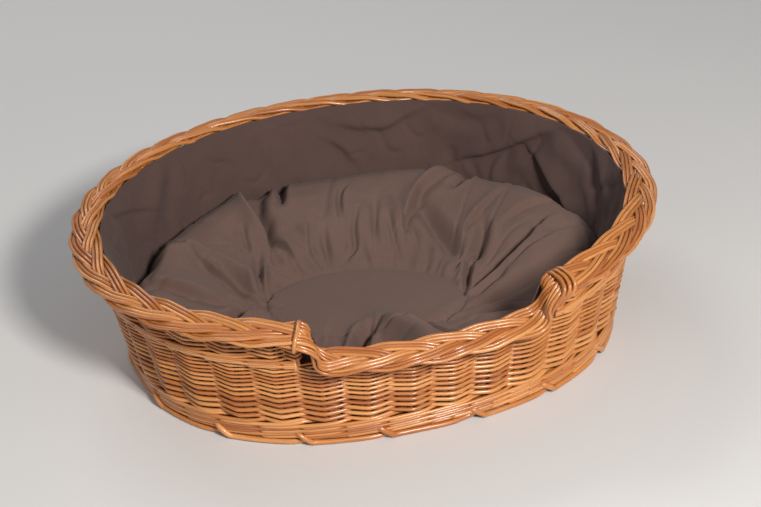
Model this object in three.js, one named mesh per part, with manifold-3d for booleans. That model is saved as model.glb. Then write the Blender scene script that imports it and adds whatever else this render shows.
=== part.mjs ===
// Oval wicker pet bed: a willow basket with a lowered way in, a cloth liner and a loose cushion.
// Millimetres, +Z up. X runs along the oval, the way in faces -Y and the floor is z = 0.
import * as THREE from 'three';
import { mergeVertices } from 'three/addons/utils/BufferGeometryUtils.js';
import Module from 'manifold-3d';

const wasm = await Module();
wasm.setup();

// Driving dimensions
const GAP = 0.4; // clearance between neighbouring solids
const ENTRANCE_SHIFT = 5; // the way in sits this far to +X of the oval's middle

// The wall: the stakes lean out from the foot oval to the rim oval
const FOOT = { a: 285, b: 236, power: 2.33, z: 8 };
const RIM = { a: 323, b: 270.5, power: 2.06, z: 166 };
const STAKE_COUNT = 36;
const STAKE_RADIUS = 3;
const ENTRANCE_STAKES = 3; // stakes under the low border on each side of its middle
const SHOULDER_STAKE = 158; // short stakes beside the way in, from its middle along the rim

// Rim border, a plait of three strands that drops at the way in
const BORDER = {
  offset: 7.5, // centre line outside the stakes
  z: 166,
  lowZ: 126,
  halfOpening: 138, // middle of the way in to the middle of the drop
  bendRadius: 16,
  bendAngle: THREE.MathUtils.degToRad(75),
  strands: 3,
  crossings: 14, // full waves of one strand round the basket
  stepsPerWave: 12,
  sway: 15.5,
  lift: 6.6,
  strandWidth: 12.4,
  strandHeight: 9,
  sides: 6,
};
const BORDER_HALF_HEIGHT = BORDER.lift + BORDER.strandHeight / 2;

// Foot border, wale and side weave
const FOOT_BORDER = { outer: 13, inner: 12, height: 8.6, segments: 72 };
const WALE = { z: 9, height: 17 };
const WEAVE = { lift: 6.6, thickness: 4, lowCourses: 5, highCourses: 2 };

// Oval base: long sticks threaded through the split short sticks, with weave round them
const BASE = { a: 272, b: 223, power: 2.33, z: 4, height: 11, segments: 72 };
const SHORT_STICK = { radius: 4.5, pitch: 90, count: 5, slotHeight: 5 };
const LONG_STICK = { radius: 2.1, pitch: 13, count: 2 };
const STICK_SIDES = 8;
const STICK_SETBACK = 6; // sticks stop this far inside the base's edge

// Cloth liner and cushion
const LINER = { inset: 10, thickness: 2.5, segments: 72 };
const CUSHION = { a: 281, b: 230, crestZ: 87, dishZ: 45, segments: 48 };

const COLOURS = {
  willow: { color: 0xc27a43, roughness: 0.38 },
  darkWillow: { color: 0xa8622f, roughness: 0.42 },
  stick: { color: 0xb98450, roughness: 0.5 },
  liner: { color: 0x5f4c46, roughness: 0.92 },
  cushion: { color: 0x6b564e, roughness: 0.9 },
};

// An oval drawn by its polar radius, counter-clockwise from -Y
class Oval extends THREE.Curve {
  constructor({ a, b, power }, margin = 0) {
    super();
    this.a = a + margin;
    this.b = b + margin;
    this.power = power;
    this.arcLengthDivisions = 720;
  }

  getPoint(t, target = new THREE.Vector3()) {
    const angle = 2 * Math.PI * t - Math.PI / 2;
    const across = Math.abs(Math.cos(angle) / this.a) ** this.power;
    const along = Math.abs(Math.sin(angle) / this.b) ** this.power;
    const radius = (across + along) ** (-1 / this.power);
    return target.set(radius * Math.cos(angle), radius * Math.sin(angle), 0);
  }
}

const footOval = new Oval(FOOT);
const rimOval = new Oval(RIM);
const rimLength = new Oval(RIM, BORDER.offset).getLength();
const UP = new THREE.Vector3(0, 0, 1);

// Point on the wall: turn is the share of the way round from the middle of the way in
function wallPoint(turn, z, offset = 0) {
  const u = THREE.MathUtils.euclideanModulo(turn + ENTRANCE_SHIFT / rimLength, 1);
  const rise = (z - FOOT.z) / (RIM.z - FOOT.z);
  const point = footOval.getPointAt(u).lerp(rimOval.getPointAt(u), rise).setZ(z);
  return point.addScaledVector(outwardAt(u), offset);
}

function outwardAt(u) {
  const tangent = rimOval.getTangentAt(u);
  return new THREE.Vector3(tangent.y, -tangent.x, 0).normalize();
}

const stakeTurn = (index) => (index + 0.5) / STAKE_COUNT;
const shoulderTurn = SHOULDER_STAKE / rimLength;
const highStakeTurn = (index) =>
  THREE.MathUtils.clamp(stakeTurn(index), shoulderTurn, 1 - shoulderTurn);
const stakeUnderLowBorder = (index) =>
  index < ENTRANCE_STAKES || index >= STAKE_COUNT - ENTRANCE_STAKES;

// A closed solid through a row of equal sections; an open row gets flat ends
function sweepGeometry(sections, closed) {
  const sides = sections[0].length;
  const count = sections.length;
  const index = [];
  for (let i = 0; i < (closed ? count : count - 1); i += 1) {
    for (let j = 0; j < sides; j += 1) {
      const a = i * sides + j;
      const b = i * sides + ((j + 1) % sides);
      const c = ((i + 1) % count) * sides + j;
      const d = ((i + 1) % count) * sides + ((j + 1) % sides);
      index.push(a, b, d, a, d, c);
    }
  }
  if (!closed) {
    const last = (count - 1) * sides;
    for (let j = 1; j < sides - 1; j += 1) {
      index.push(0, j + 1, j, last, last + j, last + j + 1);
    }
  }
  return solidGeometry(sections.flat(), index);
}

// Indexed geometry whose faces all point out
function solidGeometry(points, index) {
  let volume = 0;
  for (let i = 0; i < index.length; i += 3) {
    const [a, b, c] = index.slice(i, i + 3).map((corner) => points[corner]);
    volume += a.dot(b.clone().cross(c));
  }
  const faces = volume > 0 ? index : index.slice().reverse();
  const geometry = new THREE.BufferGeometry().setFromPoints(points);
  geometry.setIndex(faces);
  geometry.computeVertexNormals();
  return geometry;
}

function pieceMesh(name, geometry, finish) {
  const material = new THREE.MeshStandardMaterial({ metalness: 0, ...finish });
  const mesh = new THREE.Mesh(geometry, material);
  mesh.name = name;
  return mesh;
}

// The rim line drawn flat: distance along the rim from the way in against height
function borderLine() {
  const { z, lowZ, halfOpening, bendRadius, bendAngle } = BORDER;
  const straight = z - lowZ - 2 * bendRadius * (1 - Math.cos(bendAngle));
  const run = 2 * bendRadius * Math.sin(bendAngle) + straight / Math.tan(bendAngle);
  const start = halfOpening - run / 2;
  const end = halfOpening + run / 2;
  const half = Math.PI / 2;
  const line = new THREE.Path();
  line.moveTo(0, lowZ);
  line.lineTo(start, lowZ);
  line.absarc(start, lowZ + bendRadius, bendRadius, -half, bendAngle - half, false);
  line.absarc(end, z - bendRadius, bendRadius, half + bendAngle, half, true);
  line.absarc(rimLength - end, z - bendRadius, bendRadius, half, half - bendAngle, true);
  line.absarc(rimLength - start, lowZ + bendRadius, bendRadius, -half - bendAngle, -half, false);
  line.lineTo(rimLength, lowZ);
  return line;
}

// Centre points of the border with the directions across it and up through it
function borderFrames(steps) {
  const flat = borderLine().getSpacedPoints(steps).slice(0, steps);
  const centres = flat.map((p) => wallPoint(p.x / rimLength, p.y, BORDER.offset));
  return centres.map((centre, i) => {
    const next = centres[(i + 1) % steps];
    const previous = centres[(i + steps - 1) % steps];
    const tangent = next.clone().sub(previous).normalize();
    const across = tangent.clone().setZ(0).normalize().cross(UP);
    return { centre, across, up: across.clone().cross(tangent).normalize() };
  });
}

function plaitStrand(strand) {
  const steps = BORDER.crossings * BORDER.stepsPerWave;
  const frames = borderFrames(steps);
  const centres = frames.map((frame, i) => {
    const phase = 2 * Math.PI * (i / BORDER.stepsPerWave + strand / BORDER.strands);
    return frame.centre
      .clone()
      .addScaledVector(frame.across, BORDER.sway * Math.sin(phase))
      .addScaledVector(frame.up, -BORDER.lift * Math.sin(2 * phase));
  });
  const sections = centres.map((centre, i) => {
    const next = centres[(i + 1) % steps];
    const previous = centres[(i + steps - 1) % steps];
    const tangent = next.clone().sub(previous).normalize();
    const side = tangent.clone().cross(frames[i].up).normalize();
    const top = side.clone().cross(tangent).normalize();
    return roundSection(centre, side, top, BORDER.strandWidth, BORDER.strandHeight, BORDER.sides);
  });
  return sweepGeometry(sections, true);
}

function roundSection(centre, side, top, width, height, sides) {
  return Array.from({ length: sides }, (_, i) => {
    const angle = (2 * Math.PI * i) / sides;
    return centre
      .clone()
      .addScaledVector(side, (width / 2) * Math.cos(angle))
      .addScaledVector(top, (height / 2) * Math.sin(angle));
  });
}

// One band of weave that passes outside and inside the stakes by a repeating pattern
function weaveBand({ bottom, top, pattern, first = 0, last = STAKE_COUNT, place = stakeTurn }) {
  const sections = [];
  for (let index = first; index < last; index += 1) {
    const middle = WEAVE.lift * pattern(index);
    const inner = middle - WEAVE.thickness / 2;
    const outer = middle + WEAVE.thickness / 2;
    const turn = place(index);
    sections.push([
      wallPoint(turn, bottom, inner),
      wallPoint(turn, bottom, outer),
      wallPoint(turn, top, outer),
      wallPoint(turn, top, inner),
    ]);
  }
  return sweepGeometry(sections, last - first === STAKE_COUNT);
}

const plainPattern = (course) => (index) => ((index + course) % 2 === 0 ? 1 : -1);
const walePattern = (index) => (index % 3 === 0 ? -1 : 1);

function sideWeave() {
  const waleTop = WALE.z + WALE.height;
  const lowTop = BORDER.lowZ - BORDER_HALF_HEIGHT - GAP;
  const highTop = BORDER.z - BORDER_HALF_HEIGHT - GAP;
  const lowPitch = (lowTop - waleTop) / WEAVE.lowCourses;
  const highPitch = (highTop - lowTop) / WEAVE.highCourses;
  const bands = [];
  for (let course = 0; course < WEAVE.lowCourses; course += 1) {
    const bottom = waleTop + course * lowPitch + GAP;
    const top = waleTop + (course + 1) * lowPitch;
    const geometry = weaveBand({ bottom, top, pattern: plainPattern(course) });
    bands.push(pieceMesh(`weave_course_${course + 1}`, geometry, COLOURS.willow));
  }
  for (let course = 0; course < WEAVE.highCourses; course += 1) {
    const bottom = lowTop + course * highPitch + GAP;
    const top = lowTop + (course + 1) * highPitch;
    const pattern = plainPattern(course + WEAVE.lowCourses);
    const first = ENTRANCE_STAKES - 1;
    const last = STAKE_COUNT - first;
    const geometry = weaveBand({ bottom, top, pattern, first, last, place: highStakeTurn });
    bands.push(pieceMesh(`back_weave_course_${course + 1}`, geometry, COLOURS.willow));
  }
  return bands;
}

function bottomWale() {
  const band = { bottom: WALE.z, top: WALE.z + WALE.height, pattern: walePattern };
  return pieceMesh('bottom_wale', weaveBand(band), COLOURS.darkWillow);
}

// Straight rod between two points
function rodGeometry(from, to, radius) {
  const axis = to.clone().sub(from);
  const geometry = new THREE.CylinderGeometry(radius, radius, axis.length(), STICK_SIDES);
  geometry.applyQuaternion(new THREE.Quaternion().setFromUnitVectors(
    new THREE.Vector3(0, 1, 0),
    axis.clone().normalize(),
  ));
  const middle = from.clone().add(to).multiplyScalar(0.5);
  return geometry.translate(middle.x, middle.y, middle.z);
}

function stakes() {
  const bottom = FOOT_BORDER.height + GAP + 1;
  return Array.from({ length: STAKE_COUNT }, (_, index) => {
    const borderZ = stakeUnderLowBorder(index) ? BORDER.lowZ : BORDER.z;
    const top = borderZ - BORDER_HALF_HEIGHT - GAP - 1;
    const turn = stakeTurn(index);
    const geometry = rodGeometry(wallPoint(turn, bottom), wallPoint(turn, top), STAKE_RADIUS);
    const name = `stake_${String(index + 1).padStart(2, '0')}`;
    return pieceMesh(name, geometry, COLOURS.stick);
  });
}

// A short stake at each side of the way in, which the high weave turns round
function shoulderStakes() {
  const bottom = BORDER.lowZ - BORDER_HALF_HEIGHT + GAP;
  const top = BORDER.z - BORDER_HALF_HEIGHT - GAP - 1;
  return [['right', shoulderTurn], ['left', 1 - shoulderTurn]].map(([side, turn]) => {
    const geometry = rodGeometry(wallPoint(turn, bottom), wallPoint(turn, top), STAKE_RADIUS);
    return pieceMesh(`shoulder_stake_${side}`, geometry, COLOURS.stick);
  });
}

function ovalOutline(oval, segments) {
  const points = oval.getSpacedPoints(segments).slice(0, segments);
  return points.map((p) => new THREE.Vector2(p.x, p.y));
}

function extrudedOval({ outer, hole, segments, z, height }) {
  const shape = new THREE.Shape(ovalOutline(outer, segments));
  if (hole) {
    shape.holes.push(new THREE.Path(ovalOutline(hole, segments)));
  }
  const geometry = new THREE.ExtrudeGeometry(shape, { depth: height, bevelEnabled: false });
  return geometry.translate(0, 0, z);
}

function footBorder() {
  const geometry = extrudedOval({
    outer: new Oval(FOOT, FOOT_BORDER.outer),
    hole: new Oval(FOOT, -FOOT_BORDER.inner),
    segments: FOOT_BORDER.segments,
    z: 0,
    height: FOOT_BORDER.height,
  });
  return pieceMesh('foot_border', geometry, COLOURS.darkWillow);
}

// Solid for cutting, from a geometry with its shared vertices merged
function solidOf(geometry) {
  const bare = new THREE.BufferGeometry();
  bare.setAttribute('position', geometry.getAttribute('position').clone());
  bare.setIndex(geometry.index ? geometry.index.clone() : null);
  const merged = mergeVertices(bare, 1e-3);
  return new wasm.Manifold(new wasm.Mesh({
    numProp: 3,
    vertProperties: new Float32Array(merged.getAttribute('position').array),
    triVerts: new Uint32Array(merged.index.array),
  }));
}

function geometryOf(solid) {
  const mesh = solid.getMesh();
  const geometry = new THREE.BufferGeometry();
  geometry.setAttribute('position', new THREE.BufferAttribute(mesh.vertProperties, 3));
  geometry.setIndex(new THREE.BufferAttribute(mesh.triVerts, 1));
  geometry.computeVertexNormals();
  return geometry;
}

const stickZ = BASE.z + BASE.height / 2;
const centredPlace = (index, count, pitch) => (index - (count - 1) / 2) * pitch;

// A stick stops short of the base's edge, and the hole round it runs out through the edge
const stickEnd = (reach, margin) => reach + (margin > 0 ? STICK_SETBACK : -STICK_SETBACK);

function shortStickRod(index, margin) {
  const x = centredPlace(index, SHORT_STICK.count, SHORT_STICK.pitch);
  const reach = BASE.b * (1 - Math.abs(x / BASE.a) ** BASE.power) ** (1 / BASE.power);
  const end = stickEnd(reach, margin);
  const from = new THREE.Vector3(x, -end, stickZ);
  return rodGeometry(from, new THREE.Vector3(x, end, stickZ), SHORT_STICK.radius + margin);
}

function longStickRod(index, margin) {
  const y = centredPlace(index, LONG_STICK.count, LONG_STICK.pitch);
  const end = stickEnd(BASE.a, margin);
  const from = new THREE.Vector3(-end, y, stickZ);
  return rodGeometry(from, new THREE.Vector3(end, y, stickZ), LONG_STICK.radius + margin);
}

function baseAssembly() {
  const willowBase = extrudedOval({ outer: new Oval(BASE), ...BASE });
  let weave = solidOf(willowBase);
  const pieces = [];
  const slotLength = LONG_STICK.pitch * LONG_STICK.count;
  const slot = new THREE.BoxGeometry(4 * SHORT_STICK.radius, slotLength, SHORT_STICK.slotHeight);
  for (let index = 0; index < SHORT_STICK.count; index += 1) {
    const x = centredPlace(index, SHORT_STICK.count, SHORT_STICK.pitch);
    const cutter = solidOf(slot.clone().translate(x, 0, stickZ));
    const split = solidOf(shortStickRod(index, 0)).subtract(cutter);
    pieces.push(pieceMesh(`base_short_stick_${index + 1}`, geometryOf(split), COLOURS.stick));
    weave = weave.subtract(solidOf(shortStickRod(index, GAP)));
  }
  for (let index = 0; index < LONG_STICK.count; index += 1) {
    const stick = longStickRod(index, 0);
    pieces.push(pieceMesh(`base_long_stick_${index + 1}`, stick, COLOURS.stick));
    weave = weave.subtract(solidOf(longStickRod(index, GAP)));
  }
  pieces.push(pieceMesh('base_weave', geometryOf(weave), COLOURS.willow));
  return pieces;
}

// Height of the liner's edge, just under the border
function linerTop(turn) {
  const distance = Math.min(turn, 1 - turn) * rimLength;
  const low = BORDER.lowZ - BORDER_HALF_HEIGHT - GAP;
  const high = BORDER.z - BORDER_HALF_HEIGHT - GAP;
  const clear = BORDER.halfOpening + BORDER_HALF_HEIGHT + BORDER.strandHeight / 3;
  const rise = (distance - clear) / BORDER.strandHeight;
  return THREE.MathUtils.lerp(low, high, THREE.MathUtils.clamp(rise, 0, 1));
}

// A thin bowl of cloth: the wall and floor, outside and inside, as one closed skin
function linerGeometry() {
  const floor = BASE.z + BASE.height + GAP;
  const inside = floor + LINER.thickness;
  const rows = [];
  for (let i = 0; i < LINER.segments; i += 1) {
    const turn = i / LINER.segments;
    const top = linerTop(turn);
    rows.push([
      wallPoint(turn, floor, -LINER.inset),
      wallPoint(turn, top, -LINER.inset),
      wallPoint(turn, top, -LINER.inset - LINER.thickness),
      wallPoint(turn, inside, -LINER.inset - LINER.thickness),
    ]);
  }
  const sides = rows[0].length;
  const points = rows.flat();
  const index = [];
  rows.forEach((_, i) => {
    const here = i * sides;
    const next = ((i + 1) % rows.length) * sides;
    for (let j = 0; j < sides - 1; j += 1) {
      index.push(here + j, next + j, next + j + 1, here + j, next + j + 1, here + j + 1);
    }
  });
  const under = points.push(new THREE.Vector3(0, 0, floor)) - 1;
  const over = points.push(new THREE.Vector3(0, 0, inside)) - 1;
  rows.forEach((_, i) => {
    const here = i * sides;
    const next = ((i + 1) % rows.length) * sides;
    index.push(under, next, here, over, here + sides - 1, next + sides - 1);
  });
  return solidGeometry(points, index);
}

// Overstuffed round the edge and dished in the middle
function cushionGeometry() {
  const bottom = BASE.z + BASE.height + LINER.thickness + 2 * GAP;
  const { crestZ, dishZ } = CUSHION;
  const profile = [
    [0, bottom],
    [0.88, bottom],
    [0.95, bottom + 14],
    [1, bottom + 42],
    [0.98, crestZ - 12],
    [0.92, crestZ - 2],
    [0.84, crestZ],
    [0.74, crestZ - 5],
    [0.55, dishZ + 16],
    [0.42, dishZ + 3],
    [0, dishZ],
  ];
  const outline = profile.map(([share, z]) => new THREE.Vector2(share, z));
  const geometry = new THREE.LatheGeometry(outline, CUSHION.segments);
  geometry.rotateX(Math.PI / 2);
  return geometry.scale(CUSHION.a, CUSHION.b, 1);
}

const basket = new THREE.Group();
basket.add(footBorder(), bottomWale(), ...sideWeave());
basket.add(...stakes(), ...shoulderStakes(), ...baseAssembly());
for (let strand = 0; strand < BORDER.strands; strand += 1) {
  basket.add(pieceMesh(`border_plait_strand_${strand + 1}`, plaitStrand(strand), COLOURS.willow));
}
basket.add(pieceMesh('liner', linerGeometry(), COLOURS.liner));
basket.add(pieceMesh('cushion', cushionGeometry(), COLOURS.cushion));

// The origin is under the middle of the whole outline
const outline = new THREE.Box3().setFromObject(basket);
const middle = outline.getCenter(new THREE.Vector3());
basket.position.set(-middle.x, -middle.y, 0);

const group = new THREE.Group();
group.add(basket);
export default group;
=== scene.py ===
"""Oval wicker pet bed: woven willow side, plaited rim, cloth liner and a gathered cushion.

Metres, in the CAD frame: +X along the oval, the way in faces -Y, the floor is z = 0.
The side's shape comes from the stakes of the CAD model, and heights from its boxes.
"""
import math
import random

import bpy
import numpy as np
from mathutils import Matrix, Vector, noise


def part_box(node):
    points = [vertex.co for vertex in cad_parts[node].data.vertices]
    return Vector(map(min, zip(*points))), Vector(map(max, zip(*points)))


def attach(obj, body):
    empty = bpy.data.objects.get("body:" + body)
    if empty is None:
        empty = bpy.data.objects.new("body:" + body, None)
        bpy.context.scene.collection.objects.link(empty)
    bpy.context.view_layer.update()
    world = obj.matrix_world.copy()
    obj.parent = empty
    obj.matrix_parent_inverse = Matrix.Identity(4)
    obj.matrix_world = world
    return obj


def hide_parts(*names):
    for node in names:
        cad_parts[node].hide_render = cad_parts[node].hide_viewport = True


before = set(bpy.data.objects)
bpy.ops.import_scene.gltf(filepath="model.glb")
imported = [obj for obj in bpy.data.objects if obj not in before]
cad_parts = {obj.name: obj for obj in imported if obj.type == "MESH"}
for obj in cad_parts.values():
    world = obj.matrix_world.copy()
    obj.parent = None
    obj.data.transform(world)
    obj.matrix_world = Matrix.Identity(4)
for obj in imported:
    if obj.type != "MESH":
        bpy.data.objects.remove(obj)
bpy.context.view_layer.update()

MM = 0.001
STAKES = 36
RANDOM = random.Random(7)

# The border's line, as the CAD model draws it
BORDER_OFFSET = 7.5 * MM
BORDER_DROP = 40 * MM
HALF_OPENING = 138 * MM
BEND_RADIUS = 16 * MM
BEND_ANGLE = math.radians(75)
SHOULDER_STAKE = 158 * MM

strand_low, strand_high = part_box("border_plait_strand_1")
BORDER_RISE = (strand_high.z - strand_low.z - BORDER_DROP) / 2
BORDER_HIGH = strand_high.z - BORDER_RISE
BORDER_LOW = BORDER_HIGH - BORDER_DROP
WALE_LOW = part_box("bottom_wale")[0].z
WALE_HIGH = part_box("bottom_wale")[1].z
LOW_WEAVE_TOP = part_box("weave_course_5")[1].z
LINER_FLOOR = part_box("liner")[0].z
foot_low, foot_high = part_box("foot_border")
OVAL_CENTRE = (foot_low + foot_high) / 2
STAKE_RADIUS = 3 * MM


# ---------------------------------------------------------------- the wall

def stake_line(name):
    """The two ends of a stake's middle line."""
    points = np.array([v.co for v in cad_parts[name].data.vertices])
    middle = (points[:, 2].min() + points[:, 2].max()) / 2
    return points[points[:, 2] < middle].mean(0), points[points[:, 2] > middle].mean(0)


STAKE_LINES = np.array([stake_line(f"stake_{i + 1:02d}") for i in range(STAKES)])


def wall(t, z, offset=0.0):
    """Points of the side and their outward directions: t counts stakes, offset is outward."""
    t, z, offset = np.broadcast_arrays(*(np.asarray(v, float) for v in (t, z, offset)))
    index = np.floor(t).astype(int)
    u = t - index
    values = (
        (-u + 2 * u**2 - u**3) / 2,
        (2 - 5 * u**2 + 3 * u**3) / 2,
        (u + 4 * u**2 - 3 * u**3) / 2,
        (-(u**2) + u**3) / 2,
    )
    slopes = (
        (-1 + 4 * u - 3 * u**2) / 2,
        (-10 * u + 9 * u**2) / 2,
        (1 + 8 * u - 9 * u**2) / 2,
        (-2 * u + 3 * u**2) / 2,
    )
    point, along = np.zeros(t.shape + (3,)), np.zeros(t.shape + (3,))
    for k in range(4):
        foot, top = np.moveaxis(STAKE_LINES[(index + k - 1) % STAKES], -2, 0)
        rise = ((z - foot[..., 2]) / (top[..., 2] - foot[..., 2]))[..., None]
        line = foot + (top - foot) * rise
        point += values[k][..., None] * line
        along += slopes[k][..., None] * line
    outward = np.stack([along[..., 1], -along[..., 0], 0 * t], axis=-1)
    outward /= np.linalg.norm(outward, axis=-1, keepdims=True)
    return point + outward * offset[..., None], outward


def unit(vectors):
    return vectors / np.maximum(np.linalg.norm(vectors, axis=-1, keepdims=True), 1e-12)


_ring = wall(np.linspace(0, STAKES, 1441), BORDER_HIGH, BORDER_OFFSET)[0]
RIM_LENGTH = np.linalg.norm(np.diff(_ring, axis=0), axis=1).sum()
STAKE_PITCH = RIM_LENGTH / STAKES


def t_at(distance):
    """Stake count at a distance along the rim from the middle of the way in."""
    return distance / STAKE_PITCH - 0.5


def border_line(step=1 * MM):
    """The border's line drawn flat: distance along the rim and height, evenly spaced."""
    turn = 2 * BEND_RADIUS * (1 - math.cos(BEND_ANGLE))
    straight = BORDER_DROP - turn
    run = 2 * BEND_RADIUS * math.sin(BEND_ANGLE) + straight / math.tan(BEND_ANGLE)
    start, end = HALF_OPENING - run / 2, HALF_OPENING + run / 2
    bend = np.linspace(0, BEND_ANGLE, 40)
    lower = np.stack([start + BEND_RADIUS * np.sin(bend),
                      BORDER_LOW + BEND_RADIUS * (1 - np.cos(bend))], 1)
    upper = np.stack([end - BEND_RADIUS * np.sin(bend),
                      BORDER_HIGH - BEND_RADIUS * (1 - np.cos(bend))], 1)[::-1]
    half = np.concatenate([[[0, BORDER_LOW]], lower, upper, [[RIM_LENGTH / 2, BORDER_HIGH]]])
    other = np.stack([RIM_LENGTH - half[::-1, 0], half[::-1, 1]], 1)
    line = np.concatenate([half, other[1:]])
    length = np.concatenate([[0], np.cumsum(np.linalg.norm(np.diff(line, axis=0), axis=1))])
    spaced = np.linspace(0, length[-1], int(length[-1] / step) + 1)
    return np.stack([np.interp(spaced, length, line[:, k]) for k in range(2)], 1), length[-1]


def border_height(distance):
    """Height of the border's line at a distance along the rim."""
    line, _ = border_line()
    return np.interp(distance % RIM_LENGTH, line[:, 0], line[:, 1])


# ---------------------------------------------------------------- meshes

def smooth_noise(points, size, seed=0.0):
    """Perlin noise in -1..1 for an array of points in the same unit as size."""
    scaled = np.asarray(points) / size
    return np.array([noise.noise(Vector((*p, seed)[:3])) for p in scaled])


def mesh_object(name, points, faces, body="basket"):
    mesh = bpy.data.meshes.new(name)
    mesh.from_pydata(points.tolist(), [], faces)
    mesh.polygons.foreach_set("use_smooth", [True] * len(mesh.polygons))
    mesh.update()
    piece = bpy.data.objects.new(name, mesh)
    bpy.context.scene.collection.objects.link(piece)
    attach(piece, body)
    return piece


def grid_object(name, rows, body, end, start=None):
    """Rings of points joined into a surface, closed at its middle (and its start)."""
    around, count = len(rows[0]), len(rows)
    points = np.concatenate([*rows, end[None]] + ([] if start is None else [start[None]]))
    i = np.arange(around)
    j = np.roll(i, -1)
    faces = []
    for r in range(count - 1):
        a, b = r * around, (r + 1) * around
        faces += np.stack([a + i, a + j, b + j, b + i], 1).tolist()
    last, tip = (count - 1) * around, count * around
    faces += [[last + p, last + q, tip] for p, q in zip(i.tolist(), j.tolist())]
    if start is not None:
        faces += [[q, p, tip + 1] for p, q in zip(i.tolist(), j.tolist())]
    return mesh_object(name, points, faces, body)


class Rods:
    """Round rods gathered into one mesh. Each keeps its tone and its grain's direction."""

    def __init__(self, sides=8):
        angles = np.arange(sides) * 2 * math.pi / sides
        self.round = np.stack([np.cos(angles), np.sin(angles)], 1)
        self.sides = sides
        self.points, self.faces, self.tones, self.grain = [], [], [], []
        self.count = 0

    def add(self, path, radius, facing, tone=None, closed=False):
        """One rod along a path; facing gives one side of its section."""
        path = np.asarray(path, float)
        count = len(path)
        radius = np.broadcast_to(np.asarray(radius, float), (count,))
        tangent = np.gradient(path, axis=0)
        if closed:
            tangent[0] = tangent[-1] = path[1] - path[-2]
        tangent = unit(tangent)
        side = unit(facing - (facing * tangent).sum(-1, keepdims=True) * tangent)
        up = np.cross(tangent, side)
        c, s = self.round[:, 0], self.round[:, 1]
        spokes = side[:, None] * c[None, :, None] + up[:, None] * s[None, :, None]
        rings = path[:, None] + spokes * radius[:, None, None]
        run = np.concatenate([[0], np.cumsum(np.linalg.norm(np.diff(path, axis=0), axis=1))])
        tone = RANDOM.random() if tone is None else tone
        run = run + 20 * RANDOM.random()
        grain = np.stack(np.broadcast_arrays(c[None], s[None], run[:, None]), -1)
        base = self.count + np.arange((count - 1) * self.sides).reshape(count - 1, self.sides)
        right = np.roll(base, -1, axis=1)
        quads = np.stack([base, right, right + self.sides, base + self.sides], -1)
        self.faces += quads.reshape(-1, 4).tolist()
        if not closed:
            first = list(range(self.count, self.count + self.sides))
            last = [i + (count - 1) * self.sides for i in first]
            self.faces += [first[::-1], last]
        self.points.append(rings.reshape(-1, 3))
        self.grain.append(grain.reshape(-1, 3))
        self.tones.append(np.full(count * self.sides, tone))
        self.count += count * self.sides

    def build(self, name, material, nodes=()):
        piece = mesh_object(name, np.concatenate(self.points), self.faces)
        tone = piece.data.attributes.new("tone", "FLOAT", "POINT")
        tone.data.foreach_set("value", np.concatenate(self.tones).astype(np.float32))
        grain = piece.data.attributes.new("grain", "FLOAT_VECTOR", "POINT")
        grain.data.foreach_set("vector", np.concatenate(self.grain).astype(np.float32).ravel())
        piece.data.materials.append(material)
        if nodes:
            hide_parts(*nodes)
        return piece


# ---------------------------------------------------------------- materials

class Shader:
    """A node material in the making."""

    def __init__(self, name):
        self.material = bpy.data.materials.new(name)
        self.material.use_nodes = True
        self.tree = self.material.node_tree
        self.principled = self.tree.nodes["Principled BSDF"]

    def node(self, kind, inputs=None, **settings):
        made = self.tree.nodes.new(kind)
        for key, value in settings.items():
            setattr(made, key, value)
        for key, value in (inputs or {}).items():
            if isinstance(value, bpy.types.NodeSocket):
                self.tree.links.new(value, made.inputs[key])
            else:
                made.inputs[key].default_value = value
        return made

    def ramp(self, factor, stops):
        made = self.node("ShaderNodeValToRGB", {"Fac": factor})
        elements = made.color_ramp.elements
        while len(elements) < len(stops):
            elements.new(0.5)
        for element, (place, colour) in zip(elements, stops):
            element.position = place
            element.color = (*colour, 1)
        return made.outputs["Color"]

    def mix(self, kind, factor, a, b):
        made = self.node("ShaderNodeMix", data_type="RGBA", blend_type=kind)
        for index, value in ((0, factor), (6, a), (7, b)):
            if isinstance(value, bpy.types.NodeSocket):
                self.tree.links.new(value, made.inputs[index])
            else:
                made.inputs[index].default_value = value
        return made.outputs[2]

    def math(self, operation, a, b=0.0, clamp=False):
        return self.node("ShaderNodeMath", {0: a, 1: b}, operation=operation,
                         use_clamp=clamp).outputs[0]

    def set(self, **values):
        names = {"roughness": "Roughness", "coat": "Coat Weight", "sheen": "Sheen Weight",
                 "coat_roughness": "Coat Roughness", "sheen_roughness": "Sheen Roughness",
                 "specular": "Specular IOR Level", "colour": "Base Color",
                 "normal": "Normal", "sheen_tint": "Sheen Tint"}
        for key, value in values.items():
            socket = self.principled.inputs[names[key]]
            if isinstance(value, bpy.types.NodeSocket):
                self.tree.links.new(value, socket)
            else:
                socket.default_value = value


ROD_SCALE = 330  # one over a stick's radius, in 1/m
STICK_GRAIN = {  # scale and turn that bring a stick's length to the grain's third axis
    "X": ((1, ROD_SCALE, ROD_SCALE), (0, -math.pi / 2, 0)),
    "Y": ((ROD_SCALE, 1, ROD_SCALE), (math.pi / 2, 0, 0)),
    "Z": ((ROD_SCALE, ROD_SCALE, 1), (0, 0, 0)),
}


def rod_tone_and_grain(shader, along):
    """From the rods' own attributes, or from place for a stick that lies along one axis."""
    if along is None:
        return (shader.node("ShaderNodeAttribute", attribute_name="tone").outputs["Fac"],
                shader.node("ShaderNodeAttribute", attribute_name="grain").outputs["Vector"])
    place = shader.node("ShaderNodeTexCoord").outputs["Object"]
    tone = shader.node("ShaderNodeTexNoise", {"Vector": place, "Scale": 22.0}).outputs["Fac"]
    scale, turn = STICK_GRAIN[along]
    grain = shader.node("ShaderNodeMapping", {"Vector": place, "Rotation": turn, "Scale": scale})
    return tone, grain.outputs[0]


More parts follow.
